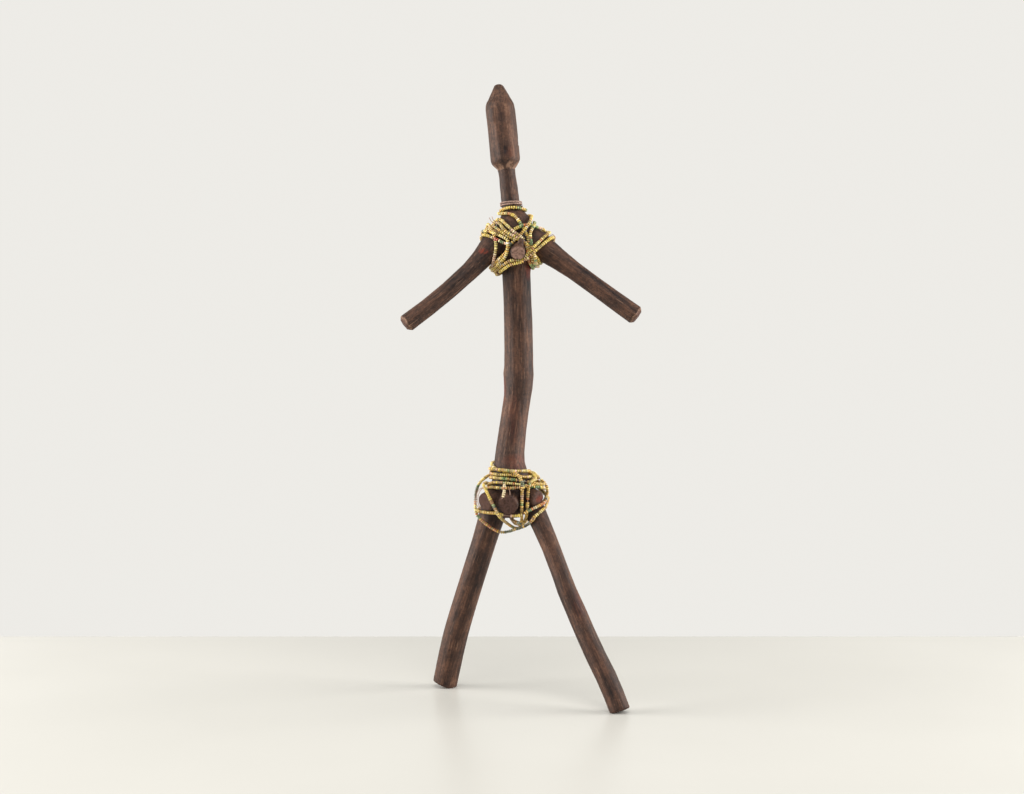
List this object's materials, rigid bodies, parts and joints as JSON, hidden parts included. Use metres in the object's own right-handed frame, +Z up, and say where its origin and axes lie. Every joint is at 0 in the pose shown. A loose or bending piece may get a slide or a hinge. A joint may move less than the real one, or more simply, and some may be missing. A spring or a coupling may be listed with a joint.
{
  "type": "namji doll",
  "caption": "Standing stick doll carved from one forked branch, with a pointed head, thin limbs, cut stubs and bead strings wound round its chest and hips.",
  "frame": {"origin": "middle of the underside of the doll's box, on the surface it stands on", "axes": "+Z up, -Y towards the viewer of the front, +X to that viewer's right"},
  "size_m": [0.1926, 0.1138, 0.4898],
  "materials": {
    "dark_wood": "stained and handled, dry sheen",
    "glass_beads": "opaque glossy glass",
    "thread": "twisted cotton"
  },
  "bodies": {
    "root": {"wooden_figure": "dark_wood", "neck_thread": "thread", "chest_beads": "glass_beads", "hip_beads": "glass_beads"}
  },
  "joints": []
}
